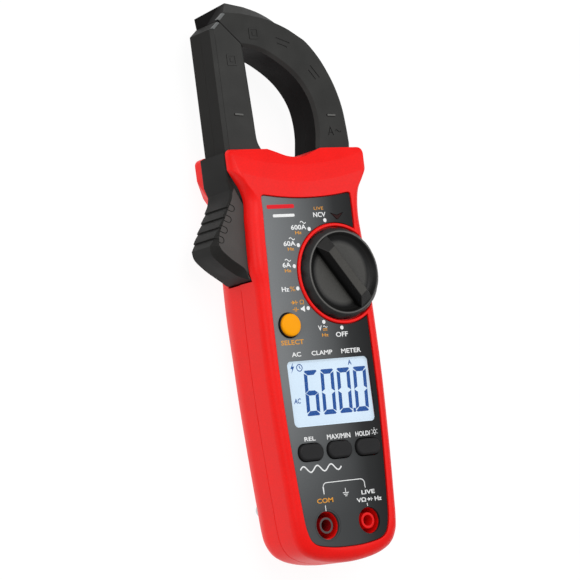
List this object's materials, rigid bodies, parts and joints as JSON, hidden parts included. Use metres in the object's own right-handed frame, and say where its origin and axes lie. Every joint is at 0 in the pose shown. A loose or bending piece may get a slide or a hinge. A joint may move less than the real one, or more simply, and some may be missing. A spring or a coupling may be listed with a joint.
{
  "type": "clamp meter",
  "caption": "Pocket AC clamp meter: hinged jaw on a squeeze lever, rotary range knob, keys, backlit display, test-lead sockets and a battery door.",
  "frame": {"origin": "centre of the flat back, where the meter rests", "axes": "+Z out of the face, +Y along the meter towards the jaws, +X to the right as the face is read"},
  "size_m": [0.072, 0.2117, 0.036],
  "materials": {
    "case_red": "satin moulded plastic with a soft outer skin",
    "panel_grey": "satin printed overlay",
    "jaw_grey": "fine textured moulding",
    "trigger_black": "fine textured moulding",
    "core_steel": "laminated silicon steel",
    "knob_black": "fine textured moulding",
    "key_black": "smooth silicone",
    "select_orange": "smooth silicone",
    "window_clear": "clear acrylic",
    "lcd_blue": "backlit liquid crystal display",
    "light_guide": "white light guide",
    "inner_plastic": "natural nylon",
    "elastomer": "silicone",
    "copper": "enamelled copper wire",
    "lead_insulation": "soft sleeve",
    "spring_steel": "bright steel",
    "contact_brass": "plated brass",
    "sleeve_grey": "moulded insulator",
    "sleeve_red": "moulded insulator",
    "board_green": "solder resist",
    "chip_black": "moulded package",
    "lens_red": "tinted clear plastic",
    "cell_jacket": "printed battery jacket"
  },
  "bodies": {
    "meter": {"front_case": "case_red", "rear_case": "case_red", "case_screw_1": "spring_steel", "case_screw_2": "spring_steel", "case_screw_3": "spring_steel", "case_screw_4": "spring_steel", "face_panel": "panel_grey", "lcd_window": "window_clear", "lcd_glass": "lcd_blue", "lcd_backlight": "light_guide", "zebra_strip": "elastomer", "lcd_frame": "inner_plastic", "circuit_board": "board_green", "measuring_chip": "chip_black", "buzzer": "chip_black", "input_thermistor": "select_orange", "ncv_led": "lens_red", "ncv_lens": "lens_red", "keypad_membrane": "elastomer", "select_switch": "elastomer", "com_sleeve": "sleeve_grey", "live_sleeve": "sleeve_red", "com_contact": "contact_brass", "live_contact": "contact_brass", "battery_1": "cell_jacket", "battery_2": "cell_jacket", "battery_spring_1": "spring_steel", "battery_spring_2": "spring_steel", "battery_link_plate": "spring_steel", "battery_end_plate": "spring_steel", "fixed_jaw_front": "jaw_grey", "fixed_jaw_rear": "jaw_grey", "fixed_core": "core_steel", "coil_bobbin": "inner_plastic", "coil_winding": "copper", "coil_lead": "lead_insulation", "jaw_pivot_pin": "spring_steel", "jaw_return_spring": "spring_steel"},
    "jaw_lever": {"moving_jaw_front": "jaw_grey", "moving_jaw_rear": "jaw_grey", "moving_core": "core_steel", "trigger_lever": "trigger_black"},
    "selector": {"rotary_knob": "knob_black", "switch_rotor": "inner_plastic", "rotor_wipers": "contact_brass", "detent_ball_1": "spring_steel", "detent_ball_2": "spring_steel", "detent_spring_1": "spring_steel", "detent_spring_2": "spring_steel"},
    "select_key": {"select_button": "select_orange"},
    "rel_key": {"rel_button": "key_black"},
    "max_min_key": {"max_min_button": "key_black"},
    "hold_key": {"hold_button": "key_black"},
    "battery_door": {"battery_cover": "case_red", "battery_cover_screw": "spring_steel"}
  },
  "joints": [
    {"name": "jaw_open", "type": "hinge", "parent": "meter", "child": "jaw_lever", "pos_m": [-0.0195, 0.032, 0.018], "axis": [0, 0, 1], "range_deg": [0, 30], "stiffness_Nm_per_rad": 0.35, "springref_deg": -34.38, "deforming": ["jaw_return_spring"]},
    {"name": "knob_turn", "type": "hinge", "parent": "meter", "child": "selector", "pos_m": [0.01078, -0.00035, 0.0304], "axis": [0, 0, 1], "range_deg": [-23.4, 140.4]},
    {"name": "select_press", "type": "slide", "parent": "meter", "child": "select_key", "axis": [0, 0, -1], "range_m": [0, 0.0008], "stiffness_N_per_m": 1200, "springref_m": -0.0005},
    {"name": "rel_press", "type": "slide", "parent": "meter", "child": "rel_key", "axis": [0, 0, -1], "range_m": [0, 0.0008], "stiffness_N_per_m": 1200, "springref_m": -0.0005},
    {"name": "max_min_press", "type": "slide", "parent": "meter", "child": "max_min_key", "axis": [0, 0, -1], "range_m": [0, 0.0008], "stiffness_N_per_m": 1200, "springref_m": -0.0005},
    {"name": "hold_press", "type": "slide", "parent": "meter", "child": "hold_key", "axis": [0, 0, -1], "range_m": [0, 0.0008], "stiffness_N_per_m": 1200, "springref_m": -0.0005},
    {"name": "battery_door_lift", "type": "slide", "parent": "meter", "child": "battery_door", "axis": [0, 0, -1], "range_m": [0, 0.012]}
  ]
}
